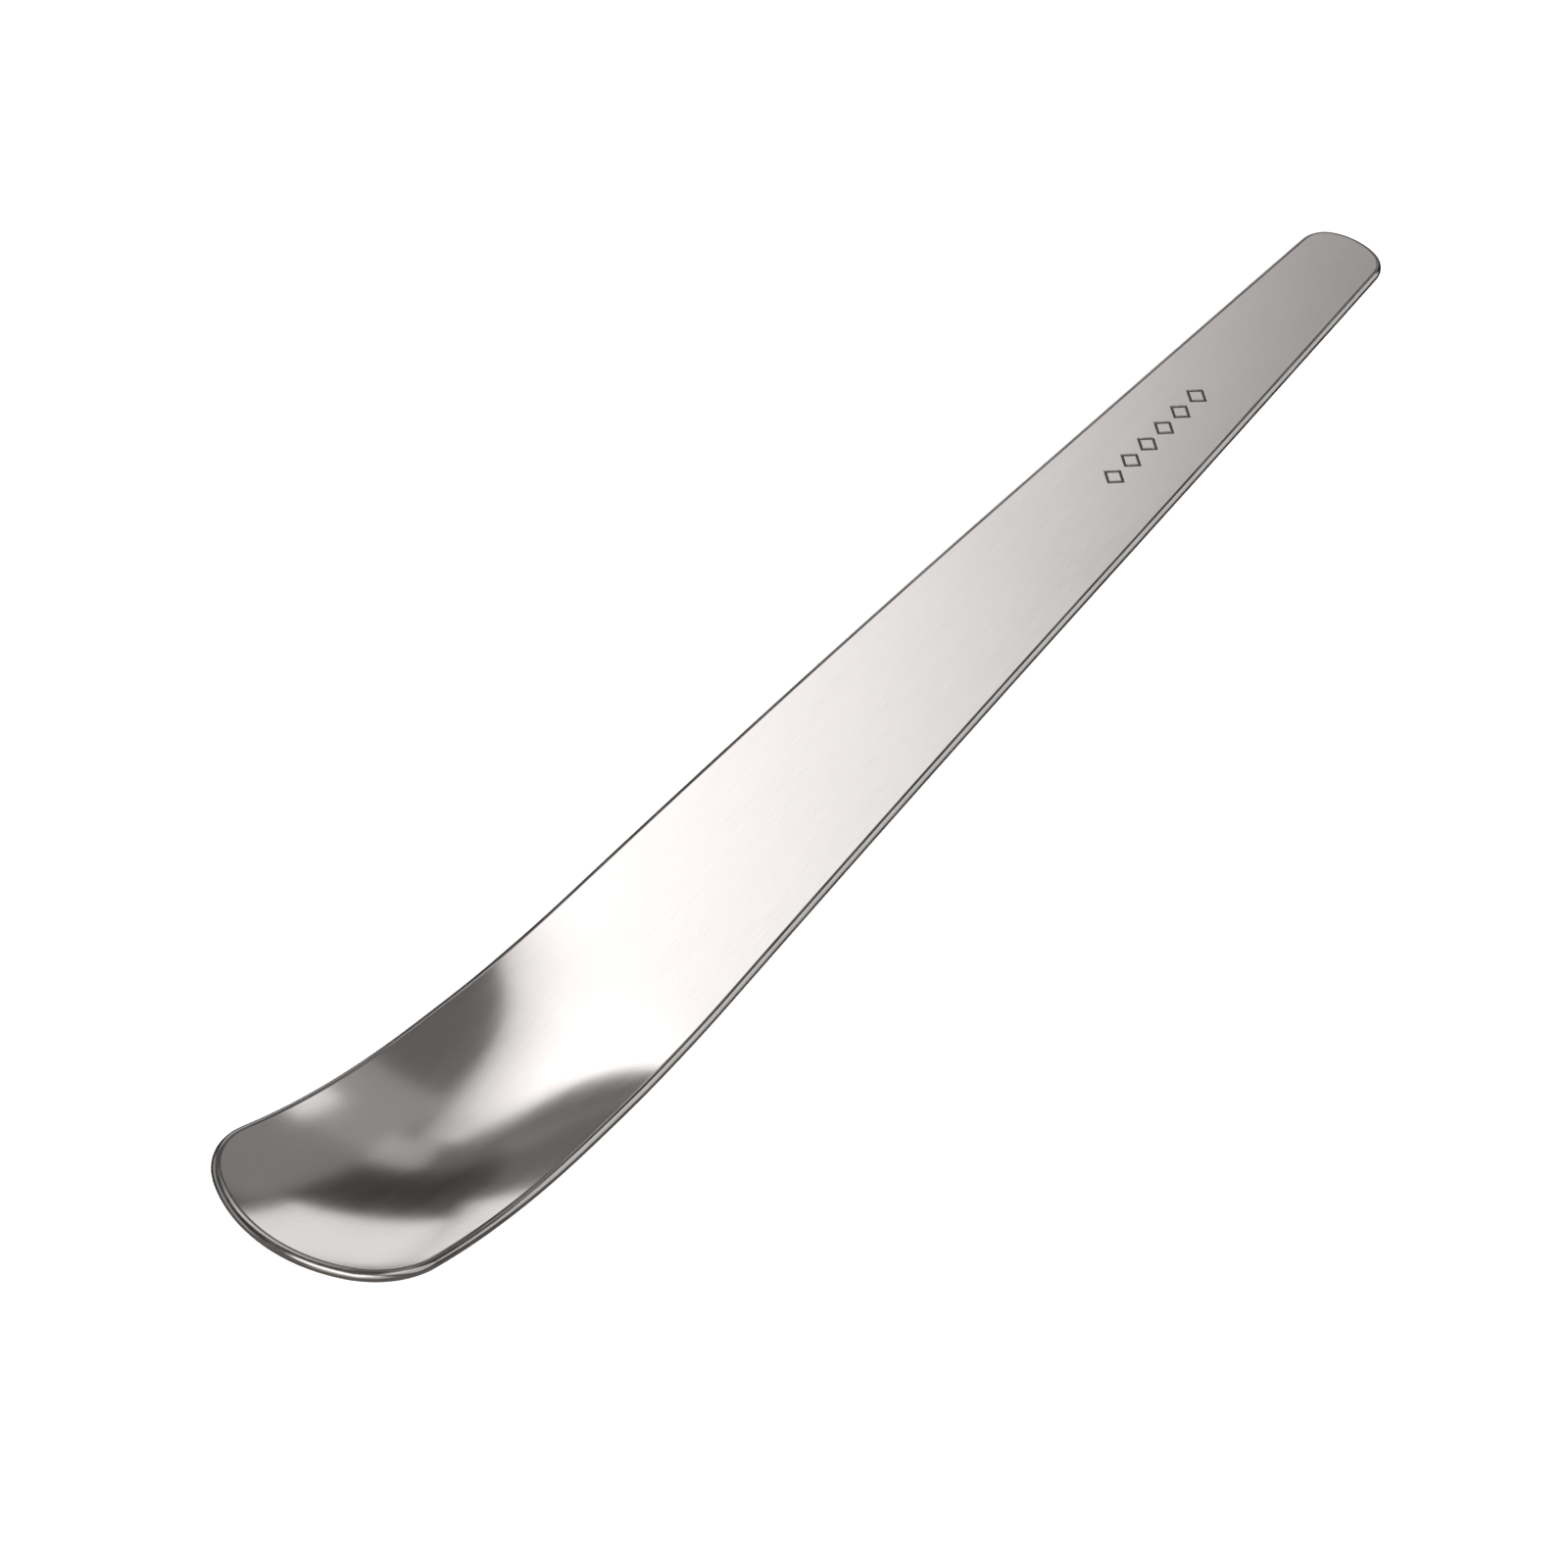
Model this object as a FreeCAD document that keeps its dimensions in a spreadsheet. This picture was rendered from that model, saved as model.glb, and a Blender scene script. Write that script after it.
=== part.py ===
"""Long one-piece shoehorn pressed from a single strip of 2 mm stainless sheet.

Drawing frame, in millimetres: the straight part of the handle lies along the XY plane, with the
plane in the middle of the sheet.  X runs from the handle end to the tip, Y is across the blade
and the hollow face of the scoop looks up (+Z).  The blade is symmetric about the XZ plane.  The
body's Placement then lays the blade down the way it rests on a table, on its handle end and on
the underside of its bend, with the origin at the bottom middle of its bounding box.
"""
import FreeCAD
import Part
import Sketcher
import math
import os

DRIVING_DIMENSIONS = {
    # sheet
    "sheet_thickness": 2.0,
    "rim_round_radius": 0.96,
    # side view, measured along the middle of the sheet from the handle end: straight handle,
    # long shallow set downwards, then the upward bend of the scoop
    "straight_length": 100.0,
    "set_radius": 2200.0,
    "bend_start": 227.8,
    "bend_radius": 104.0,
    # crosswise hollow of the scoop: its depth at this half width, and where it fades in
    "dish_depth": 4.0,
    "dish_half_width": 22.0,
    "dish_start": 206.9,
    "dish_fade_length": 44.6,
    # outline seen from above
    "plan_length": 297.4,
    "handle_end_width": 16.1,
    "tip_end_width": 40.1,
    "side_bulge": 0.64,
    "handle_end_radius": 12.5,
    "handle_corner_radius": 5.9,
    "tip_end_radius": 25.3,
    "tip_corner_radius": 13.3,
    # cross sections of the curved part, which runs on past the tip before it is trimmed
    "first_station": 161.0,
    "station_step": 10.0,
    "section_width": 50.0,
    # engraved row of hollow lozenges on the handle face
    "lozenge_row_start": 51.6,
    "lozenge_pitch": 5.2,
    "lozenge_length": 4.2,
    "lozenge_height": 4.7,
    "lozenge_wall": 0.55,
    "engraving_depth": 0.15,
}
STATION_COUNT = 16
LOZENGE_COUNT = 6
MARGIN = 10.0

# how the sketcher numbers its origin, its axes and the points of an edge
ORIGIN = (-1, 1)
X_AXIS = -1
Y_AXIS = -2
START = 1
END = 2
CENTRE = 3

doc = FreeCAD.newDocument("long_shoehorn")
sheet = doc.addObject("Spreadsheet::Sheet", "dims")
for row, (alias, value) in enumerate(DRIVING_DIMENSIONS.items(), start=1):
    sheet.set(f"A{row}", alias)
    sheet.set(f"B{row}", str(value))
    sheet.setAlias(f"B{row}", alias)
doc.recompute()


# ---------------------------------------------------------------- helpers

def dim(alias):
    """Value of one driving dimension, as the sheet holds it."""
    return float(getattr(sheet, alias))


def point(x, y):
    """A point in a sketch's own plane."""
    return FreeCAD.Vector(x, y, 0)


def mirrored(vector):
    """The same point on the other side of the blade."""
    return point(vector.x, -vector.y)


def add_sketch(body, name, plane_role):
    """A sketch on one of the body's own origin planes."""
    plane = next(item for item in body.Origin.OriginFeatures if item.Role == plane_role)
    sketch = body.newObject("Sketcher::SketchObject", name)
    sketch.AttachmentSupport = [(plane, "")]
    sketch.MapMode = "FlatFace"
    return sketch


def constrain(sketch, *arguments, formula=None):
    """Add one constraint and bind its value to the sheet when a formula is given."""
    index = sketch.addConstraint(Sketcher.Constraint(*arguments))
    if formula:
        sketch.setExpression(f"Constraints[{index}]", formula)


def closed_lines(sketch, corners):
    """Straight lines from corner to corner, joined end to start all the way round."""
    count = len(corners)
    ids = [
        sketch.addGeometry(Part.LineSegment(start, corners[(place + 1) % count]))
        for place, start in enumerate(corners)
    ]
    for place, line in enumerate(ids):
        constrain(sketch, "Coincident", line, END, ids[(place + 1) % count], START)
    return ids


def rectangle(sketch, half_width, low, high):
    """A rectangle given by its upright ends and its half width across the X axis."""
    corners = [
        point(low, -half_width),
        point(high, -half_width),
        point(high, half_width),
        point(low, half_width),
    ]
    ids = closed_lines(sketch, corners)
    constrain(sketch, "Horizontal", ids[0])
    constrain(sketch, "Vertical", ids[1])
    constrain(sketch, "Horizontal", ids[2])
    constrain(sketch, "Symmetric", ids[0], START, ids[3], START, X_AXIS)
    return ids


# ---------------------------------------------------------------- handle

def set_angle(station):
    """Formula of the downward slope in degrees at a station within the set."""
    return f"(({station} - dims.straight_length) / dims.set_radius * 180 / pi)"


def handle_strip(body):
    """Pad the side view of the handle, up to the first cross section of the curved part."""
    half = dim("sheet_thickness") / 2
    straight = dim("straight_length")
    radius = dim("set_radius")
    swept = (dim("first_station") - straight) / radius
    sketch = add_sketch(body, "handle_side_view", "XZ_Plane")

    def on_set(offset, angle):
        reach = radius + offset
        return point(straight + reach * math.sin(angle), reach * math.cos(angle) - radius)

    def set_arc(offset):
        return Part.Arc(on_set(offset, 0), on_set(offset, swept / 2), on_set(offset, swept))

    def straight_line(height):
        return Part.LineSegment(point(-MARGIN, height), point(straight, height))

    bottom = sketch.addGeometry(straight_line(-half))
    low_arc = sketch.addGeometry(set_arc(-half))
    cut = sketch.addGeometry(Part.LineSegment(on_set(-half, swept), on_set(half, swept)))
    high_arc = sketch.addGeometry(set_arc(half))
    top = sketch.addGeometry(straight_line(half))
    back = sketch.addGeometry(Part.LineSegment(point(-MARGIN, -half), point(-MARGIN, half)))
    # the sketcher runs arcs anticlockwise, so both start at the cut and end at the straight
    constrain(sketch, "Tangent", bottom, END, low_arc, END)
    constrain(sketch, "Coincident", low_arc, START, cut, START)
    constrain(sketch, "Coincident", cut, END, high_arc, START)
    constrain(sketch, "Tangent", top, END, high_arc, END)
    constrain(sketch, "Coincident", back, START, bottom, START)
    constrain(sketch, "Coincident", back, END, top, START)
    constrain(sketch, "Coincident", low_arc, CENTRE, high_arc, CENTRE)
    constrain(sketch, "Horizontal", bottom)
    constrain(sketch, "Horizontal", top)
    constrain(sketch, "Symmetric", bottom, START, top, START, X_AXIS)
    constrain(sketch, "PointOnObject", low_arc, CENTRE, cut)
    constrain(sketch, "DistanceX", back, START, *ORIGIN, MARGIN)
    constrain(
        sketch, "DistanceY", back, START, back, END, 2 * half, formula="dims.sheet_thickness"
    )
    constrain(
        sketch, "DistanceX", *ORIGIN, low_arc, CENTRE, straight, formula="dims.straight_length"
    )
    constrain(sketch, "DistanceY", low_arc, CENTRE, *ORIGIN, radius, formula="dims.set_radius")
    constrain(
        sketch, "Angle", cut, math.pi / 2 - swept,
        formula=f"90 deg - {set_angle('dims.first_station')} * 1 deg",
    )
    doc.recompute()
    pad = body.newObject("PartDesign::Pad", "handle_strip")
    pad.Profile = sketch
    pad.SideType = "Symmetric"
    pad.setExpression("Length", "dims.section_width")
    doc.recompute()


# ---------------------------------------------------------------- curved part and scoop

def station_position(number):
    """Place of a cross section along the middle of the sheet."""
    return dim("first_station") + number * dim("station_step")


def station_formula(number):
    """The same place as a formula of the sheet's cells."""
    return f"(dims.first_station + {number} * dims.station_step)"


def spine_formulas(number):
    """Formulas of a station's place along X, its height and its slope in degrees.

    The spine is three tangent pieces: a straight, an arc bending down, an arc bending up.
    """
    station = station_formula(number)
    if station_position(number) <= dim("bend_start"):
        slope = f"(0 - {set_angle(station)})"
        along = f"dims.straight_length - dims.set_radius * sin({slope} * 1 deg)"
        height = f"dims.set_radius * (cos({slope} * 1 deg) - 1)"
        return along, height, slope
    low = set_angle("dims.bend_start")
    slope = f"(({station} - dims.bend_start) / dims.bend_radius * 180 / pi - {low})"
    along = (
        f"dims.straight_length + dims.set_radius * sin({low} * 1 deg)"
        f" + dims.bend_radius * (sin({slope} * 1 deg) + sin({low} * 1 deg))"
    )
    height = (
        f"dims.set_radius * (cos({low} * 1 deg) - 1)"
        f" + dims.bend_radius * (cos({low} * 1 deg) - cos({slope} * 1 deg))"
    )
    return along, height, slope


def dish_depth_at(number):
    """Depth of the crosswise hollow at a station, and its formula; it fades in smoothly."""
    share = (station_position(number) - dim("dish_start")) / dim("dish_fade_length")
    if share >= 1:
        return dim("dish_depth"), "dims.dish_depth"
    depth = dim("dish_depth") * share ** 3 * (10 - 15 * share + 6 * share ** 2)
    part = f"(({station_formula(number)} - dims.dish_start) / dims.dish_fade_length)"
    return depth, f"(dims.dish_depth * {part} ^ 3 * (10 - 15 * {part} + 6 * {part} ^ 2))"


def flat_section(sketch):
    """A plain rectangle, for a station before the hollow begins."""
    wide = dim("section_width") / 2
    thick = dim("sheet_thickness") / 2
    ids = rectangle(sketch, thick, -wide, wide)
    constrain(sketch, "DistanceX", ids[0], START, *ORIGIN, wide, formula="dims.section_width / 2")
    constrain(sketch, "DistanceX", *ORIGIN, ids[0], END, wide, formula="dims.section_width / 2")
    constrain(
        sketch, "DistanceY", ids[1], START, ids[1], END, 2 * thick, formula="dims.sheet_thickness"
    )


def dished_section(sketch, depth, depth_formula):
    """Two arcs about one centre above the blade, closed by upright ends."""
    wide = dim("section_width") / 2
    thick = dim("sheet_thickness") / 2
    radius = (dim("dish_half_width") ** 2 + depth ** 2) / (2 * depth)
    radius_formula = f"((dims.dish_half_width ^ 2 + {depth_formula} ^ 2) / (2 * {depth_formula}))"

    def end_point(offset, side):
        return point(side * wide, radius - math.sqrt((radius + offset) ** 2 - wide ** 2))

    def section_arc(offset):
        return Part.Arc(end_point(offset, -1), point(0, -offset), end_point(offset, 1))

    low = sketch.addGeometry(section_arc(thick))
    high = sketch.addGeometry(section_arc(-thick))
    right = sketch.addGeometry(Part.LineSegment(end_point(thick, 1), end_point(-thick, 1)))
    left = sketch.addGeometry(Part.LineSegment(end_point(thick, -1), end_point(-thick, -1)))
    constrain(sketch, "Coincident", low, END, right, START)
    constrain(sketch, "Coincident", right, END, high, END)
    constrain(sketch, "Coincident", low, START, left, START)
    constrain(sketch, "Coincident", left, END, high, START)
    constrain(sketch, "Coincident", low, CENTRE, high, CENTRE)
    constrain(sketch, "PointOnObject", low, CENTRE, Y_AXIS)
    constrain(sketch, "Vertical", right)
    constrain(sketch, "Vertical", left)
    constrain(sketch, "DistanceY", *ORIGIN, low, CENTRE, radius, formula=radius_formula)
    constrain(
        sketch, "Radius", low, radius + thick, formula=f"{radius_formula} + dims.sheet_thickness / 2"
    )
    constrain(
        sketch, "Radius", high, radius - thick, formula=f"{radius_formula} - dims.sheet_thickness / 2"
    )
    constrain(sketch, "DistanceX", *ORIGIN, right, START, wide, formula="dims.section_width / 2")
    constrain(sketch, "DistanceX", left, START, *ORIGIN, wide, formula="dims.section_width / 2")


def curved_strip(body):
    """Loft the cross sections, each square to the spine, from the handle strip past the tip."""
    sections = []
    for number in range(STATION_COUNT):
        sketch = add_sketch(body, f"section_{number}", "YZ_Plane")
        along, height, slope = spine_formulas(number)
        sketch.setExpression(
            "AttachmentOffset",
            f"create(<<placement>>; create(<<vector>>; 0; {height}; {along});"
            f" create(<<rotation>>; create(<<vector>>; 1; 0; 0); 0 - {slope}))",
        )
        if station_position(number) <= dim("dish_start"):
            flat_section(sketch)
        else:
            dished_section(sketch, *dish_depth_at(number))
        sections.append(sketch)
    doc.recompute()
    loft = body.newObject("PartDesign::AdditiveLoft", "curved_strip")
    loft.Profile = sections[0]
    loft.Sections = sections[1:]
    doc.recompute()


# ---------------------------------------------------------------- outline

def side_circle():
    """Radius and centre of the left side's curve, bulging by side_bulge over the plan length."""
    near = point(0, dim("handle_end_width") / 2)
    far = point(dim("plan_length"), dim("tip_end_width") / 2)
    chord = far - near
    bulge = dim("side_bulge")
    radius = chord.Length ** 2 / (8 * bulge) + bulge / 2
    inward = point(chord.y, -chord.x).normalize()
    return radius, (near + far) * 0.5 + inward * (radius - bulge)


def corner_centre(end_centre, end_radius, corner_radius, towards):
    """Centre of a corner arc that touches an end curve and the left side from within.

    It lies where two circles cross, about the centres of those two curves, each reduced by the
    corner's own radius.  towards is +1 at the tip and -1 at the handle end.
    """
    side_radius, side_centre = side_circle()
    from_end = end_radius - corner_radius
    from_side = side_radius - corner_radius
    across = side_centre - end_centre
    apart = across.Length
    reach = (from_end ** 2 - from_side ** 2 + apart ** 2) / (2 * apart)
    rise = math.sqrt(from_end ** 2 - reach ** 2)
    unit = across.normalize()
    sideways = point(-unit.y, unit.x)
    choices = [end_centre + unit * reach + sideways * (sign * rise) for sign in (1, -1)]
    return max(choices, key=lambda centre: centre.x * towards)


def arc_about(centre, first, last):
    """The shorter arc about a centre from one point to another."""
    middle = (first + last) * 0.5 - centre
    return Part.Arc(first, centre + middle.normalize() * (first - centre).Length, last)


def end_arcs(name, end_centre_x, towards):
    """An end's own arc and its left corner's arc, both from the middle of the blade outwards."""
    end_radius = dim(f"{name}_end_radius")
    corner_radius = dim(f"{name}_corner_radius")
    side_radius, side_centre = side_circle()
    end_centre = point(end_centre_x, 0)
    centre = corner_centre(end_centre, end_radius, corner_radius, towards)
    on_end = end_centre + (centre - end_centre) * (end_radius / (end_radius - corner_radius))
    on_side = side_centre + (centre - side_centre) * (side_radius / (side_radius - corner_radius))
    return end_centre, on_end, centre, on_side


def draw_outline(sketch):
    """The outline of the blade seen from above: eight tangent arcs, the same left and right."""
    length = dim("plan_length")
    near_radius = dim("handle_end_radius")
    far_radius = dim("tip_end_radius")
    side_radius, side_centre = side_circle()
    near, near_on_end, near_corner, near_on_side = end_arcs("handle", near_radius, -1)
    far, far_on_end, far_corner, far_on_side = end_arcs("tip", length - far_radius, 1)
    # anticlockwise, from the handle end's own arc along the right side and back along the left
    arcs = [
        arc_about(near, near_on_end, mirrored(near_on_end)),
        arc_about(mirrored(near_corner), mirrored(near_on_end), mirrored(near_on_side)),
        arc_about(mirrored(side_centre), mirrored(near_on_side), mirrored(far_on_side)),
        arc_about(mirrored(far_corner), mirrored(far_on_side), mirrored(far_on_end)),
        arc_about(far, mirrored(far_on_end), far_on_end),
        arc_about(far_corner, far_on_end, far_on_side),
        arc_about(side_centre, far_on_side, near_on_side),
        arc_about(near_corner, near_on_side, near_on_end),
    ]
    ids = [sketch.addGeometry(arc) for arc in arcs]
    handle_end, right_near, right_side, right_far, tip_end, left_far, left_side, left_near = ids
    for place, arc in enumerate(ids):
        constrain(sketch, "Tangent", arc, END, ids[(place + 1) % len(ids)], START)
    constrain(sketch, "PointOnObject", handle_end, CENTRE, X_AXIS)
    constrain(sketch, "PointOnObject", tip_end, CENTRE, X_AXIS)
    constrain(sketch, "Symmetric", left_side, CENTRE, right_side, CENTRE, X_AXIS)
    constrain(sketch, "Equal", left_side, right_side)
    constrain(
        sketch, "DistanceX", *ORIGIN, handle_end, CENTRE, near_radius,
        formula="dims.handle_end_radius",
    )
    constrain(
        sketch, "DistanceX", *ORIGIN, tip_end, CENTRE, length - far_radius,
        formula="dims.plan_length - dims.tip_end_radius",
    )
    rise = "((dims.tip_end_width - dims.handle_end_width) / 2)"
    radius_formulas = {
        handle_end: "dims.handle_end_radius",
        right_near: "dims.handle_corner_radius",
        right_far: "dims.tip_corner_radius",
        tip_end: "dims.tip_end_radius",
        left_far: "dims.tip_corner_radius",
        left_side: (
            f"(dims.plan_length ^ 2 + {rise} ^ 2) / (8 * dims.side_bulge) + dims.side_bulge / 2"
        ),
        left_near: "dims.handle_corner_radius",
    }
    for arc, formula in radius_formulas.items():
        constrain(sketch, "Radius", arc, sketch.Geometry[arc].Radius, formula=formula)
    # the two stated widths are those of the side curves, carried on to each end of the blade
    near_mark = sketch.addGeometry(Part.Point(point(0, dim("handle_end_width") / 2)), True)
    far_mark = sketch.addGeometry(Part.Point(point(length, dim("tip_end_width") / 2)), True)
    constrain(sketch, "PointOnObject", near_mark, START, left_side)
    constrain(sketch, "PointOnObject", far_mark, START, left_side)
    constrain(sketch, "PointOnObject", near_mark, START, Y_AXIS)
    constrain(
        sketch, "DistanceX", *ORIGIN, far_mark, START, length, formula="dims.plan_length"
    )
    for mark, width in ((near_mark, "handle_end_width"), (far_mark, "tip_end_width")):
        constrain(
            sketch, "DistanceY", *ORIGIN, mark, START, dim(width) / 2, formula=f"dims.{width} / 2"
        )


def draw_waste_frame(sketch):
    """A rectangle round the outline, wide enough to clear the uncut strip."""
    length = dim("plan_length")
    outer = dim("section_width") / 2 + MARGIN
    ids = rectangle(sketch, outer, -2 * MARGIN, length + 2 * MARGIN)
    constrain(sketch, "DistanceX", ids[0], START, *ORIGIN, 2 * MARGIN)
    constrain(
        sketch, "DistanceX", *ORIGIN, ids[0], END, length + 2 * MARGIN,
        formula=f"dims.plan_length + {2 * MARGIN}",
    )
    constrain(
        sketch, "DistanceY", ids[1], START, ids[1], END, 2 * outer,
        formula=f"dims.section_width + {2 * MARGIN}",
    )


def trim_to_outline(body):
    """Cut away, straight up and down, everything outside the outline seen from above."""
    sketch = add_sketch(body, "outline_from_above", "XY_Plane")
    draw_outline(sketch)
    draw_waste_frame(sketch)
    doc.recompute()
    before = body.Shape.Volume
    cut = body.newObject("PartDesign::Pocket", "outline_cut")
    cut.Profile = sketch
    cut.Type = "ThroughAll"
    cut.SideType = "Symmetric"
    doc.recompute()
    if body.Shape.Volume >= before:
        raise RuntimeError("the outline cut removed nothing")


# ---------------------------------------------------------------- rim

def is_wall(face):
    """True for the upright faces that the outline cut leaves."""
    low_u, high_u, low_v, high_v = face.ParameterRange
    normal = face.normalAt((low_u + high_u) / 2, (low_v + high_v) / 2)
    return abs(normal.z) < 1e-6


def round_rim(body):
    """Round the whole rim, over and under, almost to a half circle."""
    base = body.Tip
    shape = base.Shape
    names = []
    for place, edge in enumerate(shape.Edges, start=1):
        walls = [is_wall(face) for face in shape.ancestorsOfType(edge, Part.Face)]
        if sorted(walls) == [False, True]:
            names.append(f"Edge{place}")
    fillet = body.newObject("PartDesign::Fillet", "rounded_rim")
    fillet.Base = (base, names)
    fillet.setExpression("Radius", "dims.rim_round_radius")
    doc.recompute()


# ---------------------------------------------------------------- engraved ornament

def draw_lozenge(sketch, left, half_length, half_height):
    """Four lines about the X axis, from the left corner down, right, up and back."""
    middle = left + half_length
    corners = [
        point(left, 0),
        point(middle, -half_height),
        point(middle + half_length, 0),
        point(middle, half_height),
    ]
    ids = closed_lines(sketch, corners)
    constrain(sketch, "PointOnObject", ids[0], START, X_AXIS)
    constrain(sketch, "PointOnObject", ids[2], START, X_AXIS)
    constrain(sketch, "Symmetric", ids[1], START, ids[3], START, X_AXIS)
    return ids


def engrave_ornament(body):
    """Engrave the row of hollow lozenges along the middle of the handle's upper face."""
    sketch = add_sketch(body, "lozenge", "XY_Plane")
    sketch.setExpression(".AttachmentOffset.Base.z", "dims.sheet_thickness / 2")
    left = dim("lozenge_row_start")
    half_length = dim("lozenge_length") / 2
    half_height = dim("lozenge_height") / 2
    wall = dim("lozenge_wall")
    kept_share = 1 - wall * math.hypot(half_length, half_height) / (half_length * half_height)
    inner_left = left + half_length * (1 - kept_share)
    outer = draw_lozenge(sketch, left, half_length, half_height)
    inner = draw_lozenge(sketch, inner_left, half_length * kept_share, half_height * kept_share)
    constrain(sketch, "Equal", outer[0], outer[1])
    constrain(
        sketch, "DistanceX", *ORIGIN, outer[0], START, left, formula="dims.lozenge_row_start"
    )
    constrain(
        sketch, "DistanceX", outer[0], START, outer[2], START, 2 * half_length,
        formula="dims.lozenge_length",
    )
    constrain(
        sketch, "DistanceY", outer[1], START, outer[3], START, 2 * half_height,
        formula="dims.lozenge_height",
    )
    for inner_line, outer_line in zip(inner[:2], outer[:2]):
        constrain(sketch, "Parallel", inner_line, outer_line)
    constrain(sketch, "Distance", inner[0], START, outer[0], wall, formula="dims.lozenge_wall")
    constrain(sketch, "Distance", inner[2], START, outer[1], wall, formula="dims.lozenge_wall")
    doc.recompute()
    before = body.Shape.Volume
    pocket = body.newObject("PartDesign::Pocket", "engraved_lozenge")
    pocket.Profile = sketch
    pocket.Type = "Length"
    pocket.setExpression("Length", "dims.engraving_depth")
    doc.recompute()
    if body.Shape.Volume >= before:
        raise RuntimeError("the engraving removed nothing")
    row = body.newObject("PartDesign::LinearPattern", "engraved_row")
    row.Originals = [pocket]
    row.Direction = (sketch, ["H_Axis"])
    row.Mode = "Spacing"
    row.Occurrences = LOZENGE_COUNT
    row.setExpression("Offset", "dims.lozenge_pitch")
    body.Tip = row
    doc.recompute()


# ---------------------------------------------------------------- resting place

def rest_slope():
    """Slope in degrees of the line that the blade lies on.

    It is the common tangent below two circles, the rounded handle end and the underside of the
    bend, whose radii differ by the radius of the bend.
    """
    half = dim("sheet_thickness") / 2
    low = (dim("bend_start") - dim("straight_length")) / dim("set_radius")
    bend = dim("bend_radius")
    reach = dim("set_radius") + bend
    across = dim("straight_length") + reach * math.sin(low) - half
    up = reach * math.cos(low) - dim("set_radius")
    return math.degrees(math.atan2(up, across) - math.asin(bend / math.hypot(across, up)))


def lay_down(body):
    """Turn and move the body so that it rests on Z = 0 with the origin under its middle."""
    turn = FreeCAD.Rotation(FreeCAD.Vector(0, 1, 0), rest_slope())
    body.Placement = FreeCAD.Placement(FreeCAD.Vector(), turn)
    doc.recompute()
    box = body.Shape.optimalBoundingBox()
    body.Placement = FreeCAD.Placement(FreeCAD.Vector(-box.Center.x, 0, -box.ZMin), turn)
    doc.recompute()


# ---------------------------------------------------------------- whole part

def shoehorn_blade():
    """The whole shoehorn: one piece of pressed sheet."""
    blade = doc.addObject("PartDesign::Body", "shoehorn_blade")
    blade.Label = "shoehorn_blade"
    handle_strip(blade)
    curved_strip(blade)
    trim_to_outline(blade)
    round_rim(blade)
    engrave_ornament(blade)
    lay_down(blade)
    return blade


def check_and_write(bodies):
    """Stop on any failed object or bad shape, then write each body to a file of its own."""
    for item in doc.Objects:
        if any(word in item.State for word in ("Invalid", "Error")):
            raise RuntimeError(f"{item.Name} failed: {item.State}")
        if item.TypeId == "Sketcher::SketchObject" and not item.FullyConstrained:
            raise RuntimeError(f"{item.Name} is not fully constrained")
    for body in bodies:
        shape = body.Shape
        if shape.isNull() or not shape.isValid() or len(shape.Solids) != 1:
            raise RuntimeError(f"{body.Label} is not one valid solid")
    os.makedirs("parts", exist_ok=True)
    for body in bodies:
        body.Shape.exportStep(f"parts/{body.Label}.step")
        box = body.Shape.optimalBoundingBox()
        print(f"{body.Label}: {body.Shape.Volume:.0f} mm3, {box}, {body.Placement}")


check_and_write([shoehorn_blade()])
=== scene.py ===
"""Looks of the long one-piece shoehorn: a satin stainless blade with a rounded rim, whose darker
colour is painted shade standing in for the dark room it mirrors.

Lengths of the blade are in millimetres in its drawing frame: x runs from the handle end to the
tip, y is across the blade and z = 0 is the middle of the sheet along the straight handle.  They
are the driving dimensions of the CAD part, so the blade is the same surface with a finer mesh.
The finished mesh is then turned and moved into the row frame, in metres.
"""
import bpy
import math
import numpy as np
from mathutils import Matrix, Vector


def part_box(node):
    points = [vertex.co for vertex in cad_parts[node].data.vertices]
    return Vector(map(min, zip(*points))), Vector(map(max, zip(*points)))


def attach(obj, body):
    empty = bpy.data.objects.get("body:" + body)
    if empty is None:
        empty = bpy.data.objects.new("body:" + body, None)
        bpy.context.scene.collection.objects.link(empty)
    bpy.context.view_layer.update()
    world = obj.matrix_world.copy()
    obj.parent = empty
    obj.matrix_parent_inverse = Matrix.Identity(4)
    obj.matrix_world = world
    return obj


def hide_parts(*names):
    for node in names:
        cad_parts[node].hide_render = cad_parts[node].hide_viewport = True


MM = 0.001

HALF_SHEET = 1.0
STRAIGHT_LENGTH = 100.0
SET_RADIUS = 2200.0
BEND_START = 227.8
BEND_RADIUS = 104.0

DISH_DEPTH = 4.0
DISH_HALF_WIDTH = 22.0
DISH_START = 206.9
DISH_FADE_LENGTH = 44.6

PLAN_LENGTH = 297.4
HANDLE_END_WIDTH = 16.1
TIP_END_WIDTH = 40.1
SIDE_BULGE = 0.64
HANDLE_END_RADIUS = 12.5
HANDLE_CORNER_RADIUS = 5.9
TIP_END_RADIUS = 25.3
TIP_CORNER_RADIUS = 13.3

LOZENGE_COUNT = 6
LOZENGE_ROW_START = 51.6
LOZENGE_PITCH = 5.2
LOZENGE_LENGTH = 4.2
LOZENGE_HEIGHT = 4.7
LOZENGE_WALL = 0.55
ENGRAVING_DEPTH = 0.15
GROOVE_SHOULDER = 0.16

# mesh spacing
ORNAMENT_STEP = 0.085
ORNAMENT_HALF_HEIGHT = 2.6
INNER_SHARE = 0.4
SIDE_STEP = 1.5
SIDE_MARGIN = 0.3
HANDLE_ARC_STEPS = 16
TIP_ARC_STEPS = 28
INNER_COLUMNS = 31
OUTER_COLUMNS = 9
UNDER_COLUMNS = 25
RIM_SEGMENTS = 14

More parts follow.
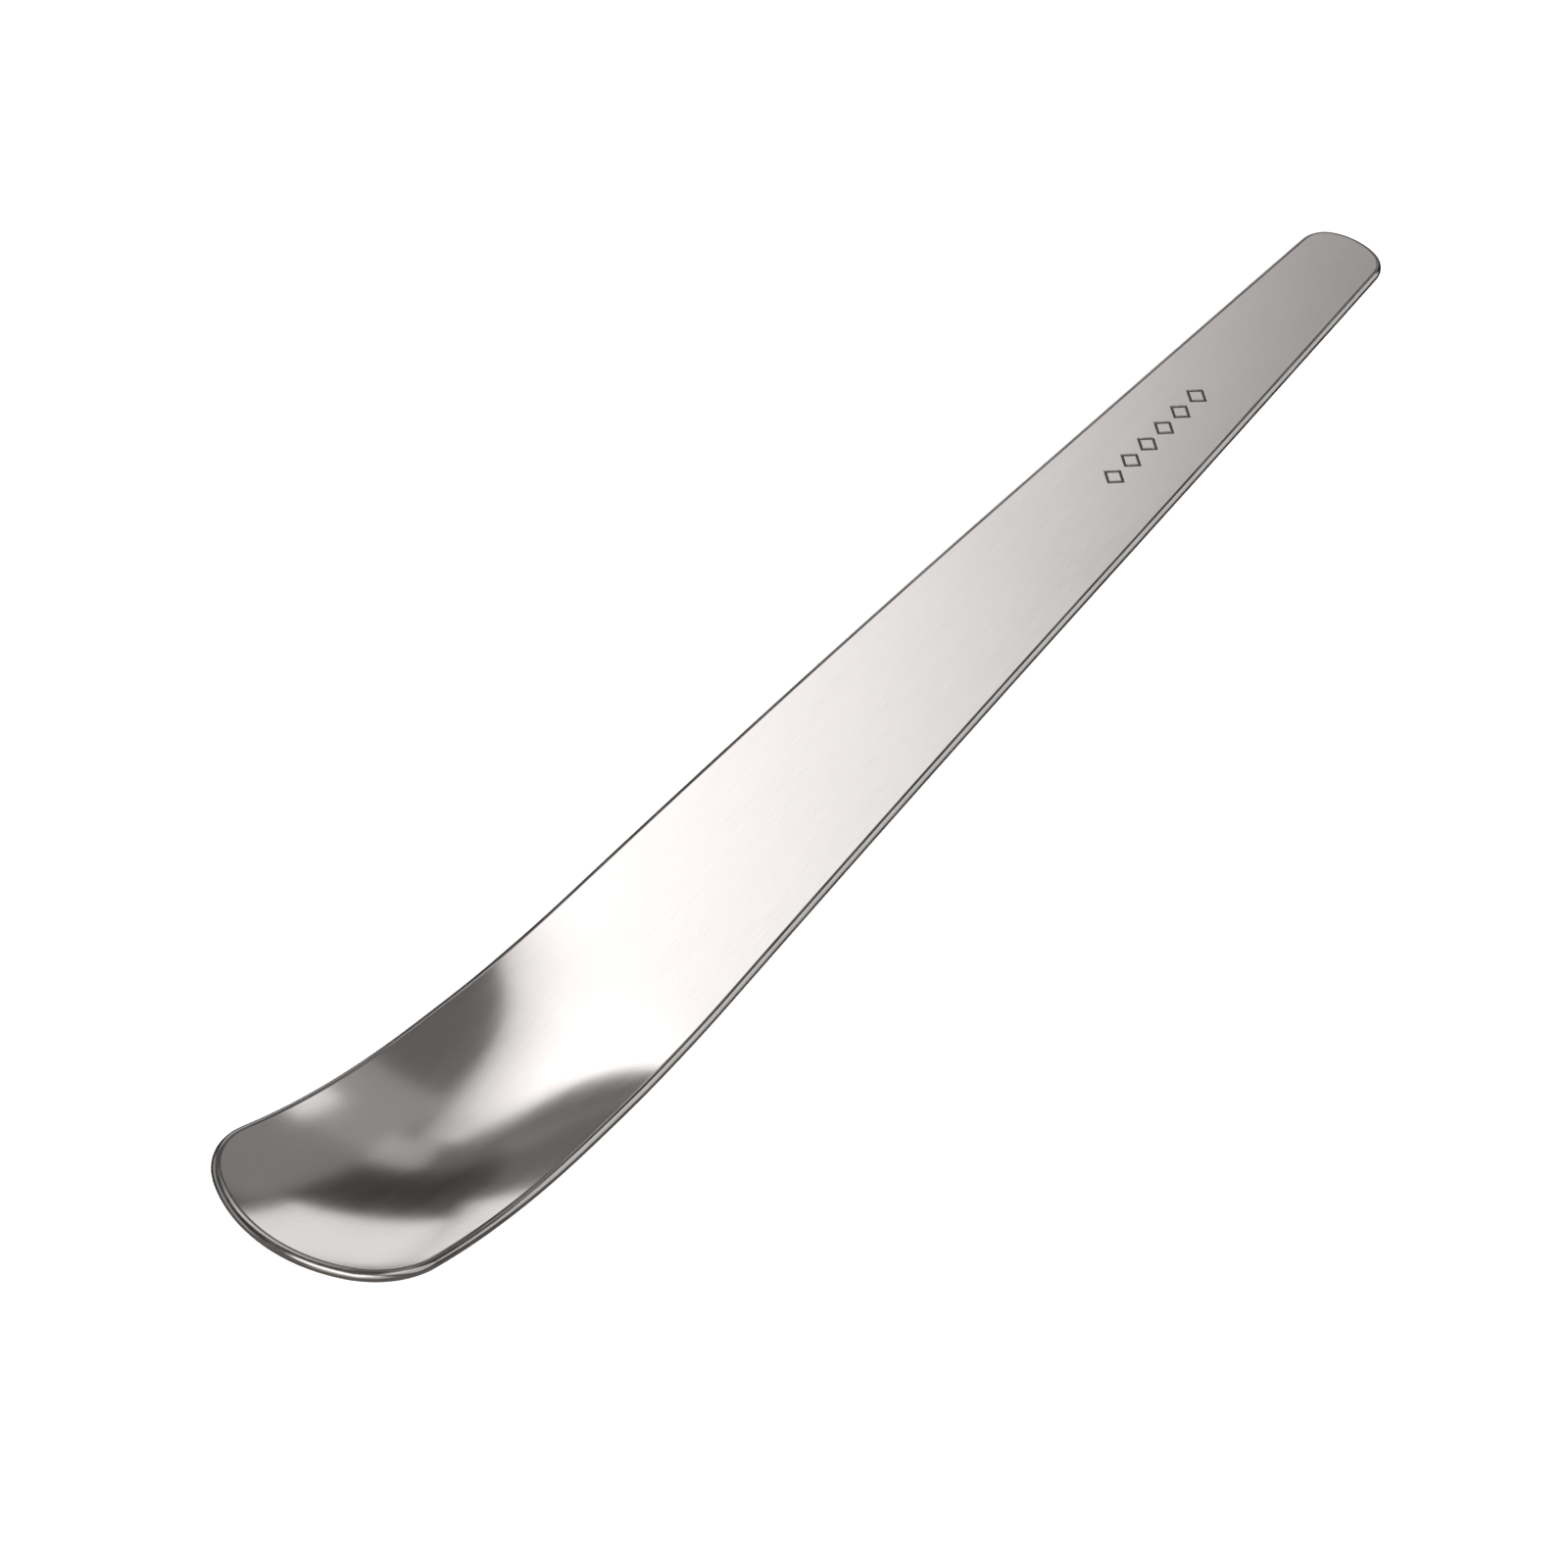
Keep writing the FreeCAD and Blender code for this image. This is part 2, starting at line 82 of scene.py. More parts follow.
# steps for slopes taken as differences
SURFACE_STEP = 0.02
GROOVE_STEP = 0.03
STATION_ROUNDS = 14
LEAST_DEPTH = 1e-7

# the unbent sheet's coordinates are in centimetres; the rim lies just past the face's edge
FLAT_UNIT = 10
RIM_FLAT_NEAR = 0.05
RIM_FLAT_FAR = 0.3

ENGRAVED_SHARE = 0.1
FACE_FINISH = 0
# the rim's material is painted dark: painted shade in place of dark reflections
RIM_PAINTED_DARK_FINISH = 1
ENGRAVED_FINISH = 2

# the part of a noise's range that the finishes use
NOISE_LOW = 0.3
NOISE_HIGH = 0.7

# studio, in metres
FLOOR_HALF_SIZE = 6.0
RIG_HEIGHT = 1.6
KEY_PLACE = (-2.436, -1.565, 2.246)
KEY_RUN = (-0.843, -0.375, 0.387)
KEY_BACK = (0.402, 0.039, 0.915)
KEY_LENGTH = 5.5
KEY_WIDTH = 0.75
CAMERA_PLACE = (0.33059, 0.23974, 0.49005)
CAMERA_RIGHT = (-0.61668, 0.78722, -0.00183)
CAMERA_BACK = (0.49325, 0.38820, 0.77847)
CAMERA_LENS = 86.718
SENSOR_WIDTH = 36.0

# power of an area light for each square metre of it and each unit of radiance
POWER_PER_AREA = 4


# ---------------------------------------------------------------- blade surface

def smooth_fade(share):
    """Fade from 0 to 1 with no slope or curvature at either end."""
    share = np.clip(share, 0, 1)
    return share ** 3 * (10 - 15 * share + 6 * share ** 2)


def spine(station):
    """Slope in radians and place (x, z) at stations along the middle of the sheet."""
    low = (BEND_START - STRAIGHT_LENGTH) / SET_RADIUS
    in_set = np.clip((station - STRAIGHT_LENGTH) / SET_RADIUS, 0, low)
    slope = np.where(
        station <= BEND_START, -in_set, (station - BEND_START) / BEND_RADIUS - low
    )
    x_set = np.minimum(station, STRAIGHT_LENGTH) + SET_RADIUS * np.sin(in_set)
    z_set = SET_RADIUS * (np.cos(in_set) - 1)
    bent = station > BEND_START
    x = x_set + np.where(bent, BEND_RADIUS * (np.sin(slope) + math.sin(low)), 0)
    z = z_set + np.where(bent, BEND_RADIUS * (math.cos(low) - np.cos(slope)), 0)
    return slope, x, z


def hollow(station, y):
    """Rise of the dished sheet at a distance y from its middle line."""
    depth = DISH_DEPTH * smooth_fade((station - DISH_START) / DISH_FADE_LENGTH)
    depth = np.maximum(depth, LEAST_DEPTH)
    radius = (DISH_HALF_WIDTH ** 2 + depth ** 2) / (2 * depth)
    return y ** 2 / (radius + np.sqrt(radius ** 2 - y ** 2))


def station_below(x, y):
    """Station whose cross section holds the mid-sheet point seen from above at (x, y)."""
    station = np.array(x, float)
    for _ in range(STATION_ROUNDS):
        slope, along, _ = spine(station)
        miss = x - (along - np.sin(slope) * hollow(station, y))
        station = station + miss / np.cos(slope)
    return station


def mid_point(station, y):
    """Point of the middle of the sheet."""
    slope, x, z = spine(station)
    rise = hollow(station, y)
    return np.stack([x - np.sin(slope) * rise, y, z + np.cos(slope) * rise], -1)


def unit(vectors):
    """The same directions with length one."""
    return vectors / np.linalg.norm(vectors, axis=-1, keepdims=True)


def mid_normal(station, y):
    """Upward normal of the middle of the sheet."""
    step = SURFACE_STEP
    lengthwise = mid_point(station + step, y) - mid_point(station - step, y)
    crosswise = mid_point(station, y + step) - mid_point(station, y - step)
    return unit(np.cross(lengthwise, crosswise))


# ---------------------------------------------------------------- outline from above

def side_circle():
    """Centre and radius of the left side's curve."""
    near = np.array([0, HANDLE_END_WIDTH / 2])
    far = np.array([PLAN_LENGTH, TIP_END_WIDTH / 2])
    chord = far - near
    radius = float(chord @ chord) / (8 * SIDE_BULGE) + SIDE_BULGE / 2
    inward = unit(np.array([chord[1], -chord[0]]))
    return (near + far) / 2 + inward * (radius - SIDE_BULGE), radius


def corner_centre(end_centre, end_radius, corner_radius, towards):
    """Centre of the corner arc that touches an end arc and the left side from within."""
    side_centre, side_radius = side_circle()
    across = side_centre - end_centre
    apart = float(np.linalg.norm(across))
    from_end = end_radius - corner_radius
    from_side = side_radius - corner_radius
    reach = (from_end ** 2 - from_side ** 2 + apart ** 2) / (2 * apart)
    rise = math.sqrt(from_end ** 2 - reach ** 2)
    ahead = across / apart
    sideways = np.array([-ahead[1], ahead[0]])
    choices = [end_centre + ahead * reach + sideways * rise * sign for sign in (1, -1)]
    return max(choices, key=lambda centre: centre[0] * towards)


def arc_points(centre, radius, start, end, count):
    """Points along an arc between two directions, without the last one, and their directions."""
    angles = np.linspace(start, end, count, endpoint=False)
    directions = np.stack([np.cos(angles), np.sin(angles)], -1)
    return centre + radius * directions, directions


def direction_angle(vector):
    """Angle of a plan direction from the x axis."""
    return math.atan2(vector[1], vector[0])


def end_arcs(end_centre, end_radius, corner_radius, towards, count):
    """Left half of one end: its own arc and its corner, from the middle of the blade outwards."""
    side_centre, _ = side_circle()
    corner = corner_centre(end_centre, end_radius, corner_radius, towards)
    middle = math.pi if towards < 0 else 0.0
    joint = direction_angle(corner - end_centre)
    side = direction_angle(corner - side_centre)
    end_part = arc_points(end_centre, end_radius - HALF_SHEET, middle, joint, count)
    corner_part = arc_points(corner, corner_radius - HALF_SHEET, joint, side, count)
    points = np.concatenate([end_part[0], corner_part[0]])
    outward = np.concatenate([end_part[1], corner_part[1]])
    return points, outward


def side_rows(first_x, last_x):
    """Places of the mesh rows along the side, close together across the ornament."""
    margin = 3 * ORNAMENT_STEP
    row_end = LOZENGE_ROW_START + (LOZENGE_COUNT - 1) * LOZENGE_PITCH + LOZENGE_LENGTH
    limits = [first_x, LOZENGE_ROW_START - margin, row_end + margin, last_x]
    steps = [SIDE_STEP, ORNAMENT_STEP, SIDE_STEP]
    parts = []
    for low, high, step in zip(limits[:-1], limits[1:], steps):
        count = math.ceil((high - low) / step)
        parts.append(np.linspace(low, high, count, endpoint=False))
    return np.concatenate(parts + [[last_x]])


def rim_line():
    """Left half of the rim's centre line from above, handle end to tip, and its outward normal."""
    side_centre, side_radius = side_circle()
    handle_centre = np.array([HANDLE_END_RADIUS, 0.0])
    tip_centre = np.array([PLAN_LENGTH - TIP_END_RADIUS, 0.0])
    near, near_out = end_arcs(
        handle_centre, HANDLE_END_RADIUS, HANDLE_CORNER_RADIUS, -1, HANDLE_ARC_STEPS
    )
    far, far_out = end_arcs(tip_centre, TIP_END_RADIUS, TIP_CORNER_RADIUS, 1, TIP_ARC_STEPS)
    inset = side_radius - HALF_SHEET
    x = side_rows(near[-1, 0] + SIDE_MARGIN, far[-1, 0] - SIDE_MARGIN)
    side = np.stack([x, side_centre[1] + np.sqrt(inset ** 2 - (x - side_centre[0]) ** 2)], -1)
    side_out = (side - side_centre) / inset
    points = np.concatenate([near, side, far[::-1]])
    outward = np.concatenate([near_out, side_out, far_out[::-1]])
    return points, outward


# ---------------------------------------------------------------- engraved ornament

def groove_depth(x, y):
    """Depth of the engraved row of hollow lozenges at a point of the handle's upper face."""
    half_length = LOZENGE_LENGTH / 2
    half_height = LOZENGE_HEIGHT / 2
    place = np.clip(np.floor((x - LOZENGE_ROW_START) / LOZENGE_PITCH), 0, LOZENGE_COUNT - 1)
    centre = LOZENGE_ROW_START + place * LOZENGE_PITCH + half_length
    gauge = half_length * half_height / math.hypot(half_length, half_height)
    inside = (1 - np.abs(x - centre) / half_length - np.abs(y) / half_height) * gauge
    to_edge = LOZENGE_WALL / 2 - np.abs(inside - LOZENGE_WALL / 2)
    return ENGRAVING_DEPTH * smooth_fade(to_edge / GROOVE_SHOULDER)


# ---------------------------------------------------------------- blade mesh

def column_places(half_width):
    """Distances of the upper face's vertices from the middle line, right to left."""
    inner = np.minimum(ORNAMENT_HALF_HEIGHT, INNER_SHARE * half_width)[:, None]
    inner_share = np.linspace(-1, 1, 2 * INNER_COLUMNS + 1)[None, :]
    outer_share = np.linspace(0, 1, OUTER_COLUMNS + 1)[None, 1:]
    outer = inner + (half_width[:, None] - inner) * outer_share
    return np.concatenate([-outer[:, ::-1], inner * inner_share, outer], 1)


def even_columns(half_width, count):
    """Evenly spaced distances from the middle line, right to left."""
    return half_width[:, None] * np.linspace(-1, 1, count)[None, :]


def face_grid(rows_x, places, side):
    """Vertices, normals and stations of the upper (side 1) or under (side -1) face."""
    x = np.broadcast_to(rows_x[:, None], places.shape)
    station = station_below(x, places)
    normal = mid_normal(station, places) * side
    points = mid_point(station, places) + normal * HALF_SHEET
    if side > 0:
        depth = groove_depth(x, places)
        step = GROOVE_STEP
        slope_x = (groove_depth(x + step, places) - groove_depth(x - step, places)) / (2 * step)
        slope_y = (groove_depth(x, places + step) - groove_depth(x, places - step)) / (2 * step)
        points = points - normal * depth[..., None]
        tilt = np.stack([slope_x, slope_y, np.zeros_like(depth)], -1)
        normal = unit(normal + tilt)
    return points, normal, station


def rim_rings(line, outward, side_sign):
    """Half-round rim along one side: rings of vertices from the upper face to the under face."""
    y = line[:, 1] * side_sign
    station = station_below(line[:, 0], y)
    middle = mid_point(station, y)
    normal = mid_normal(station, y)
    plan_out = np.stack([outward[:, 0], outward[:, 1] * side_sign, np.zeros(len(y))], -1)
    along = np.cross(plan_out, normal)
    out = unit(np.cross(normal, along))
    angles = np.linspace(0, math.pi, RIM_SEGMENTS + 1)[None, 1:-1, None]
    directions = np.cos(angles) * normal[:, None, :] + np.sin(angles) * out[:, None, :]
    return middle[:, None, :] + directions * HALF_SHEET, directions, station


def grid_faces(table, flip):
    """Faces between neighbours in a table of vertex numbers, each corner named only once."""
    faces = []
    for low, high in zip(table[:-1], table[1:]):
        for place in range(len(low) - 1):
            corners = [low[place], high[place], high[place + 1], low[place + 1]]
            corners = list(dict.fromkeys(corners))
            if len(corners) > 2:
                faces.append(corners[::-1] if flip else corners)
    return faces


class MeshParts:
    """Collects vertices, normals and flat coordinates of a mesh made of several grids."""

    def __init__(self):
        self.points = []
        self.normals = []
        self.flat = []
        self.count = 0

    def add_grid(self, points, normals, flat):
        """Add a grid of vertices whose first and last rows shrink to a single vertex each."""
        rows, columns = points.shape[:2]
        table = np.zeros((rows, columns), int)
        for row in range(rows):
            single = row in (0, rows - 1)
            kept = 1 if single else columns
            at = columns // 2 if single else slice(None)
            self.points.append(points[row, at].reshape(kept, 3))
            self.normals.append(normals[row, at].reshape(kept, 3))
            self.flat.append(flat[row, at].reshape(kept, 2))
            table[row] = self.count + (0 if single else np.arange(columns))
            self.count += kept
        return table

    def add_rings(self, points, normals, flat):
        """Add a grid of vertices as it stands."""
        rows, columns = points.shape[:2]
        self.points.append(points.reshape(-1, 3))
        self.normals.append(normals.reshape(-1, 3))
        self.flat.append(flat.reshape(-1, 2))
        table = self.count + np.arange(rows * columns).reshape(rows, columns)
        self.count += rows * columns
        return table


def flat_coordinates(station, y):
    """Place on the unbent sheet, used to lay the grain along the blade."""
    return np.stack([station / FLAT_UNIT, y / FLAT_UNIT], -1)


def blade_parts():
    """All vertices of the blade, the faces of its two satin faces and those of its rim."""
    line, outward = rim_line()
    rows_x = line[:, 0]
    half_width = np.maximum(line[:, 1], 0)
    parts = MeshParts()
    top_y = column_places(half_width)
    low_y = even_columns(half_width, UNDER_COLUMNS)
    top, top_normal, top_station = face_grid(rows_x, top_y, 1)
    low, low_normal, low_station = face_grid(rows_x, low_y, -1)
    top_table = parts.add_grid(top, top_normal, flat_coordinates(top_station, top_y))
    low_table = parts.add_grid(low, low_normal, flat_coordinates(low_station, low_y))
    faces = grid_faces(top_table, False) + grid_faces(low_table, True)
    rim_faces = []
    tables = {}
    for side_sign, edge_column in ((1, -1), (-1, 0)):
        rings, directions, station = rim_rings(line, outward, side_sign)
        round_the_edge = np.linspace(RIM_FLAT_NEAR, RIM_FLAT_FAR, rings.shape[1])[None, :]
        edge_y = (half_width * side_sign)[:, None] / FLAT_UNIT + side_sign * round_the_edge
        edge_x = np.broadcast_to(station[:, None] / FLAT_UNIT, edge_y.shape)
        flat = np.stack([edge_x, edge_y], -1)
        table = parts.add_rings(rings, directions, flat)
        if side_sign < 0:
            # both sides share the rings at the two ends of the middle line
            table[0] = tables[1][0]
            table[-1] = tables[1][-1]
        tables[side_sign] = table
        full = np.concatenate(
            [top_table[:, edge_column, None], table, low_table[:, edge_column, None]], 1
        )
        rim_faces += grid_faces(full, side_sign < 0)
    return parts, faces, rim_faces


def rest_placement(points):
    """Turn and move drawing-frame points, in mm, to the row frame, in metres.

    The blade lies on its rounded handle end and the underside of its bend; the slope of that
    line is the common tangent below two circles whose radii differ by the radius of the bend.
    """
    low = (BEND_START - STRAIGHT_LENGTH) / SET_RADIUS
    reach = SET_RADIUS + BEND_RADIUS
    across = STRAIGHT_LENGTH + reach * math.sin(low) - HALF_SHEET
    up = reach * math.cos(low) - SET_RADIUS
    slope = math.atan2(up, across) - math.asin(BEND_RADIUS / math.hypot(across, up))
    turn = np.array(Matrix.Rotation(slope, 3, "Y"))
    return points @ turn.T * MM, turn


def make_blade():
    """The blade as one closed mesh with its surface's normals, and where its rim's faces start."""
    parts, faces, rim_faces = blade_parts()
    points = np.concatenate(parts.points)
    normals = np.concatenate(parts.normals)
    flat = np.concatenate(parts.flat)
    points, turn = rest_placement(points)
    normals = normals @ turn.T
    low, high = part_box("shoehorn_blade")
    own_low = points.min(0)
    own_high = points.max(0)
    shift = [
        (low.x + high.x) / 2 - (own_low[0] + own_high[0]) / 2,
        (low.y + high.y) / 2 - (own_low[1] + own_high[1]) / 2,
        low.z - own_low[2],
    ]
    points = points + np.array(shift)
    mesh = bpy.data.meshes.new("shoehorn_blade_looks")
    mesh.from_pydata(points.tolist(), [], faces + rim_faces)
    mesh.polygons.foreach_set("use_smooth", [True] * len(mesh.polygons))
    layer = mesh.uv_layers.new(name="unbent_sheet")
    corners = np.zeros(len(mesh.loops), int)
    mesh.loops.foreach_get("vertex_index", corners)
    layer.data.foreach_set("uv", flat[corners].ravel())
    mesh.normals_split_custom_set_from_vertices(normals.tolist())
    blade = bpy.data.objects.new("shoehorn_blade_looks", mesh)
    bpy.context.scene.collection.objects.link(blade)
    return blade, len(faces)


# ---------------------------------------------------------------- materials

def new_material(name, roughness, colour):
    """A metallic material with plain values on its own sockets; returns its node tree too."""
    material = bpy.data.materials.new(name)
    material.use_nodes = True
    shader = material.node_tree.nodes["Principled BSDF"]
    shader.inputs["Metallic"].default_value = 1.0
    shader.inputs["Roughness"].default_value = roughness
    shader.inputs["Base Color"].default_value = (*colour, 1)
    return material, material.node_tree, shader


def stretched_noise(tree, along, across, detail):
    """Noise in the coordinates of the unbent sheet, drawn out along the blade."""
    place = tree.nodes.new("ShaderNodeUVMap")
    place.uv_map = "unbent_sheet"
    scale = tree.nodes.new("ShaderNodeMapping")
    scale.inputs["Scale"].default_value = (along, across, 1)
    noise = tree.nodes.new("ShaderNodeTexNoise")
    noise.inputs["Scale"].default_value = 1.0
    noise.inputs["Detail"].default_value = detail
    tree.links.new(place.outputs["UV"], scale.inputs["Vector"])
    tree.links.new(scale.outputs["Vector"], noise.inputs["Vector"])
    return noise.outputs["Fac"]


def ranged(tree, value, low, high):
    """Map a noise value to a range."""
    node = tree.nodes.new("ShaderNodeMapRange")
    node.inputs["From Min"].default_value = NOISE_LOW
    node.inputs["From Max"].default_value = NOISE_HIGH
    node.inputs["To Min"].default_value = low
    node.inputs["To Max"].default_value = high
    tree.links.new(value, node.inputs["Value"])
    return node.outputs["Result"]


def grain_bump(tree, shader, height, strength, distance):
    """Tilt the surface by a height field."""
    bump = tree.nodes.new("ShaderNodeBump")
    bump.inputs["Strength"].default_value = strength
    bump.inputs["Distance"].default_value = distance
    tree.links.new(height, bump.inputs["Height"])
    tree.links.new(bump.outputs["Normal"], shader.inputs["Normal"])


def tinted(tree, value, dark, light):
    """Colour that runs between two tints."""
    ramp = tree.nodes.new("ShaderNodeValToRGB")
    ramp.color_ramp.elements[0].position = NOISE_LOW
    ramp.color_ramp.elements[0].color = (*dark, 1)
    ramp.color_ramp.elements[1].position = NOISE_HIGH
    ramp.color_ramp.elements[1].color = (*light, 1)
    tree.links.new(value, ramp.inputs["Fac"])
    return ramp.outputs["Color"]


def satin_steel():
    """Stainless sheet with a fine lengthwise grain."""
    material, tree, shader = new_material("satin_steel", 0.15, (0.652, 0.625, 0.612))
    shader.inputs["Anisotropic"].default_value = 0.3
    shader.inputs["Anisotropic Rotation"].default_value = 0.25
    tangent = tree.nodes.new("ShaderNodeTangent")
    tangent.direction_type = "UV_MAP"
    tangent.uv_map = "unbent_sheet"
    tree.links.new(tangent.outputs["Tangent"], shader.inputs["Tangent"])
    grain = stretched_noise(tree, 2.0, 160.0, 3)
    cloud = stretched_noise(tree, 0.5, 3.0, 2)
    colour = tinted(tree, grain, (0.622, 0.596, 0.583), (0.682, 0.654, 0.641))
    tree.links.new(colour, shader.inputs["Base Color"])
    tree.links.new(ranged(tree, cloud, 0.14, 0.165), shader.inputs["Roughness"])
    grain_bump(tree, shader, grain, 0.03, 0.00002)
    return material


def rim_steel_painted_dark():
    """The rounded rim: the same steel, a little duller than the face, with a darker base colour
    that is painted shade in place of the dark surroundings it would reflect.
    """
    # painted shade: this dark base colour and the dark tints below stand in for the dark room the
    # rim mirrors; the noise only varies them at random
    material, tree, shader = new_material("rim_steel_painted_dark", 0.22, (0.32, 0.31, 0.3))
    rubbing = stretched_noise(tree, 1.5, 5.0, 2)
    tree.links.new(ranged(tree, rubbing, 0.17, 0.27), shader.inputs["Roughness"])
    colour = tinted(tree, rubbing, (0.29, 0.28, 0.27), (0.35, 0.34, 0.33))
    tree.links.new(colour, shader.inputs["Base Color"])
    return material


def engraved_steel():
    """Floor and shoulders of the engraving: duller and darker than the face."""
    material, tree, shader = new_material("engraved_steel", 0.5, (0.12, 0.115, 0.11))
    etch = stretched_noise(tree, 60.0, 60.0, 3)
    tree.links.new(ranged(tree, etch, 0.42, 0.6), shader.inputs["Roughness"])
    colour = tinted(tree, etch, (0.08, 0.077, 0.074), (0.17, 0.164, 0.157))
    tree.links.new(colour, shader.inputs["Base Color"])
    grain_bump(tree, shader, etch, 0.3, 0.00003)
    return material


def dress(blade, rim_start):
    """Give the faces, the rim and the engraving their finishes; the rim's finish has a painted
    dark colour, painted shade in place of dark reflections.
    """
    mesh = blade.data
    # in the order of the finish numbers
    for material in (satin_steel(), rim_steel_painted_dark(), engraved_steel()):
        mesh.materials.append(material)
    uv = np.zeros(len(mesh.loops) * 2)
    mesh.uv_layers[0].data.foreach_get("uv", uv)
    uv = uv.reshape(-1, 2) * FLAT_UNIT
    starts = np.zeros(len(mesh.polygons), int)
    totals = np.zeros(len(mesh.polygons), int)
    mesh.polygons.foreach_get("loop_start", starts)
    mesh.polygons.foreach_get("loop_total", totals)
    centres = np.add.reduceat(uv, starts) / totals[:, None]
    engraved = groove_depth(centres[:, 0], centres[:, 1]) > ENGRAVED_SHARE * ENGRAVING_DEPTH
    upper = np.array([polygon.normal.z > 0 for polygon in mesh.polygons])
    finish = np.where(engraved & upper, ENGRAVED_FINISH, FACE_FINISH)
    # the rim gets the material whose colour holds painted shade
    finish[rim_start:] = RIM_PAINTED_DARK_FINISH
    mesh.polygons.foreach_set("material_index", finish)


# ---------------------------------------------------------------- studio

def light_table():
    """White translucent plastic, lit from below."""
    material = bpy.data.materials.new("light_table")
    material.use_nodes = True
    shader = material.node_tree.nodes["Principled BSDF"]
    shader.inputs["Base Color"].default_value = (0.86, 0.86, 0.86, 1)
    shader.inputs["Roughness"].default_value = 0.7
    shader.inputs["Emission Color"].default_value = (1, 1, 1, 1)
    shader.inputs["Emission Strength"].default_value = 0.6
    return material


def make_floor():
    """Plain white light table, which the steel doesn't mirror."""
    half = FLOOR_HALF_SIZE
    mesh = bpy.data.meshes.new("floor")
    corners = [(-half, -half, 0), (half, -half, 0), (half, half, 0), (-half, half, 0)]
    mesh.from_pydata(corners, [], [(0, 1, 2, 3)])
    mesh.materials.append(light_table())
    floor = bpy.data.objects.new("floor", mesh)
    floor.visible_glossy = False
    bpy.context.scene.collection.objects.link(floor)


def soft_light(name, place, target, width, height, radiance):
    """A rectangular soft light of a given brightness, turned towards a target."""
    light = bpy.data.lights.new(name, "AREA")
    light.shape = "RECTANGLE"
    light.size = width
    light.size_y = height
    light.energy = POWER_PER_AREA * radiance * width * height
    lamp = bpy.data.objects.new(name, light)
    lamp.location = place
    lamp.rotation_euler = (Vector(target) - Vector(place)).to_track_quat("-Z", "Y").to_euler()
    bpy.context.scene.collection.objects.link(lamp)
    return lamp


def overhead_panel(name, low_corner, high_corner, radiance):
    """A level soft box at the rig's height; its corners are given in shares of that height."""
    middle_x = (low_corner[0] + high_corner[0]) / 2 * RIG_HEIGHT
    middle_y = (low_corner[1] + high_corner[1]) / 2 * RIG_HEIGHT
    width = (high_corner[0] - low_corner[0]) * RIG_HEIGHT
    depth = (high_corner[1] - low_corner[1]) * RIG_HEIGHT
    place = (middle_x, middle_y, RIG_HEIGHT)
    soft_light(name, place, (middle_x, middle_y, 0), width, depth, radiance)


def fade_over(light, along, across):
    """Fade a soft box over its length and its width: from a share, to a share, within a reach."""
    light.use_nodes = True
    tree = light.node_tree
    place = tree.nodes.new("ShaderNodeNewGeometry")
    parts = tree.nodes.new("ShaderNodeSeparateXYZ")
    both = tree.nodes.new("ShaderNodeMath")
    both.operation = "MULTIPLY"
    tree.links.new(place.outputs["Parametric"], parts.inputs["Vector"])
    for slot, (start, end, reach) in enumerate((along, across)):
        fade = tree.nodes.new("ShaderNodeMapRange")
        fade.inputs["From Max"].default_value = reach
        fade.inputs["To Min"].default_value = start
        fade.inputs["To Max"].default_value = end
        tree.links.new(parts.outputs[slot], fade.inputs["Value"])
        tree.links.new(fade.outputs["Result"], both.inputs[slot])
    tree.links.new(both.outputs["Value"], tree.nodes["Emission"].inputs["Strength"])


def key_soft_box():
    """The main soft box: it hangs beyond the handle end and rises away from it."""
    lamp = soft_light("key_box", KEY_PLACE, (0, 0, 0), KEY_LENGTH, KEY_WIDTH, 1.0)
    run = Vector(KEY_RUN).normalized()
    back = Vector(KEY_BACK)
    back = (back - run * back.dot(run)).normalized()
    axes = Matrix((run, back.cross(run), back)).transposed()
    lamp.matrix_world = Matrix.Translation(lamp.location) @ axes.to_4x4()
    fade_over(lamp.data, (1.9, 0.68, 0.6), (0.36, 1.14, 1.0))


def card(name, azimuth, elevation, distance, width, height, radiance, aim=0.0):
    """A soft light round the blade, in degrees about it and above it, turned to a height there."""
    turn = math.radians(azimuth)
    lift = math.radians(elevation)
    flat = math.cos(lift) * distance
    place = (flat * math.cos(turn), flat * math.sin(turn), math.sin(lift) * distance)
    soft_light(name, place, (0, 0, aim), width, height, radiance)


def make_lights():
    """Soft boxes overhead, low cards beyond the handle end and dim walls all round."""
    key_soft_box()
    overhead_panel("ceiling", (-2.0, -1.4), (0.6, 0.7), 0.08)
    overhead_panel("front_box", (0.25, -0.15), (2.1, 2.0), 2.4)
    card("far_card", 206.5, 28, 2.0, 0.3, 0.3, 0.3)
    card("low_card", 212.5, -3, 1.5, 0.5, 0.54, 0.82, aim=0.02)
    card("corner_card", 230, 0, 1.5, 0.4, 0.66, 0.8, aim=0.02)
    card("corner_wall", 238, 19, 1.5, 0.7, 0.7, 0.1)
    card("left_wall", 186, 23, 1.5, 0.8, 1.25, 0.18)
    card("side_window", 181, 31, 1.5, 0.25, 0.25, 0.6)
    overhead_panel("right_box", (-1.4, 0.1), (0.1, 1.2), 0.6)
    card("front_wall", 45, 12, 1.6, 2.4, 0.8, 0.7)
    card("back_wall", 290, 13, 1.8, 3.0, 0.9, 0.55)
    card("right_wall", 128, 20, 1.5, 1.2, 1.7, 1.05)


